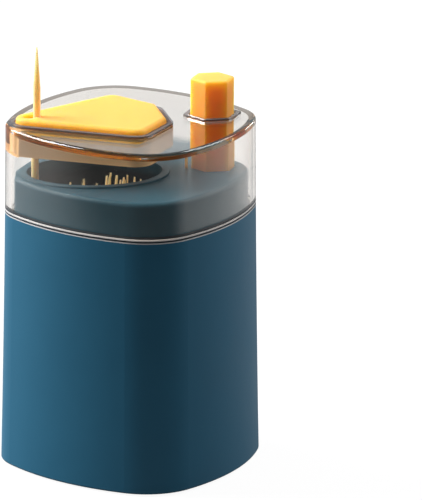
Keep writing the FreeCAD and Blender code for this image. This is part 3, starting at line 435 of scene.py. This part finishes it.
# %% Birch
def birch_wood(name):
    """Birch with its fibres along Z"""
    paint = new_paint(name)
    fibre = paint.noise(2600, 4, stretch=(1, 1, 0.035))
    patch = paint.noise(160, 2, stretch=(1, 1, 0.3))
    fibres = paint.node("ShaderNodeValToRGB", {"stops": [
        (0.3, colour(250, 190, 126)), (0.5, colour(255, 216, 156)), (0.72, colour(255, 226, 176)),
    ]}, {"Fac": fibre})
    return finish(name, {
        "Base Color": paint.blend(patch * 0.5, fibres, colour(255, 218, 162)),
        "Roughness": 0.62 + (fibre - 0.5) * 0.2,
        "Subsurface Weight": 0.85,
        "Subsurface Radius": (1.0, 0.8, 0.6),
        "Subsurface Scale": 0.003,
        "Normal": paint.bump(fibre, 0.05 * MM, 0.7),
    }, paint)


birch = birch_wood("birch")

# %% [markdown]
# ## Give each CAD node its finish
#
# The record names a material slot for each node. One table from slot to finish is enough, so
# no node can be forgotten.

# %% Finishes on the CAD nodes
FINISHES = {
    "shell_blue": shell_blue, "deck_blue": deck_blue, "clear_tint": clear_tint, "pale_clear": pale_clear,
    "amber_yellow": amber_yellow, "natural_nylon": natural_nylon, "steel": plain_steel,
    "foot_rubber": foot_rubber, "birch": birch,
}
slot_of = {part["node"]: part["material_slot"] for part in frame["record"]["subparts"]}
for name, node in nodes.items():
    node.data.materials.clear()
    node.data.materials.append(FINISHES[slot_of[name]])
print("dressed nodes:", len(nodes))

# %% [markdown]
# ## Studio
#
# The object stands on a wide white floor in soft light. A large lamp on the left, a little
# behind the object, lights one side. A weaker one on the right, also a little behind, keeps the
# other side from going black, and a faint one above lights the tops. The white background is
# for what the camera sees, straight on, through the clear lid or, at a smaller share, mirrored.
# It adds no light to the object. A mirrored or bent ray that comes back towards the camera finds
# a dim room instead, because a studio is dark behind the camera.


# %% Floor and white surroundings
MIRRORED = 0.35


def towards_backdrop(paint, way):
    """How far a direction or a point lies behind the object, as the camera sees it"""
    turned = paint.node("ShaderNodeVectorRotate", {"rotation_type": "Z_AXIS"}, {
        "Vector": way, "Angle": LOOK_FROM_LEFT})
    return paint.node("ShaderNodeSeparateXYZ", {}, {"Vector": turned}, output="Y")


def seen_directly(paint, behind):
    """One for camera rays; for glossy and transmission rays the share that the backdrop gives"""
    kinds = ("Is Camera Ray", "Is Glossy Ray", "Is Transmission Ray")
    camera_ray, glossy_ray, clear_ray = (paint.node("ShaderNodeLightPath", output=kind) for kind in kinds)
    return camera_ray.larger((glossy_ray * MIRRORED).larger(clear_ray) * behind)


world = bpy.data.worlds.new("studio")
bpy.context.scene.world = world
air = Paint(world)
AMBIENT = 0.28
ROOM_DIM = 0.15
ROOM_STARTS = -0.5
BACKDROP_STARTS = 0.25
direction = air.node("ShaderNodeTexCoord", output="Generated")
behind = air.node("ShaderNodeMapRange", {"interpolation_type": "SMOOTHSTEP"}, {
    "Value": towards_backdrop(air, direction), "From Min": ROOM_STARTS, "From Max": BACKDROP_STARTS,
    "To Min": ROOM_DIM})
shown = seen_directly(air, behind)
sky = air.node("ShaderNodeBackground", {}, {
    "Color": (1, 1, 1, 1), "Strength": AMBIENT + shown * (1 - AMBIENT)})
air.node("ShaderNodeOutputWorld", {}, {"Surface": sky})

FLOOR_RADIUS = 3.0
FLOOR_GREY = 0.09
FLOOR_GLOW = 0.93
NEAR_DIM = 0.05
NEAR_STARTS = -0.2
NEAR_ENDS = -0.02
floor_mesh = bpy.data.meshes.new("floor")
shape = bmesh.new()
bmesh.ops.create_circle(shape, cap_ends=True, radius=FLOOR_RADIUS, segments=96)
shape.to_mesh(floor_mesh)
shape.free()
floor = bpy.data.objects.new("floor", floor_mesh)
bpy.context.scene.collection.objects.link(floor)
ground = new_paint("floor_white")
spot = ground.node("ShaderNodeTexCoord", output="Object")
near = ground.node("ShaderNodeMapRange", {"interpolation_type": "SMOOTHSTEP"}, {
    "Value": towards_backdrop(ground, spot), "From Min": NEAR_STARTS, "From Max": NEAR_ENDS,
    "To Min": NEAR_DIM})
matte = ground.node("ShaderNodeBsdfDiffuse", {}, {"Color": (FLOOR_GREY, FLOOR_GREY, FLOOR_GREY, 1)})
glow = ground.node("ShaderNodeEmission", {}, {
    "Color": (1, 1, 1, 1), "Strength": seen_directly(ground, near) * FLOOR_GLOW})
both = ground.node("ShaderNodeAddShader", {}, {0: matte, 1: glow})
ground.node("ShaderNodeOutputMaterial", {}, {"Surface": both})
floor_mesh.materials.append(ground.owner)


# %% Lamps
def lamp(name, azimuth, height, distance, size, power):
    """Square area lamp that faces the object; azimuth 0 is the camera's side, positive to the right"""
    turn = math.radians(azimuth) - LOOK_FROM_LEFT
    rise = math.radians(height)
    way = Vector((math.sin(turn) * math.cos(rise), -math.cos(turn) * math.cos(rise), math.sin(rise)))
    made = bpy.data.objects.new(name, bpy.data.lights.new(name, "AREA"))
    bpy.context.scene.collection.objects.link(made)
    made.data.size = size
    made.data.energy = power
    made.location = Vector((0, 0, 60 * MM)) + way * distance
    made.rotation_euler = way.to_track_quat("Z", "Y").to_euler()
    return made


lamp("left_lamp", -109, 37, 0.9, 0.6, 19.4)
lamp("right_lamp", 114, 40, 0.45, 0.25, 1.3)
lamp("top_lamp", 180, 75, 0.9, 0.6, 1.0)
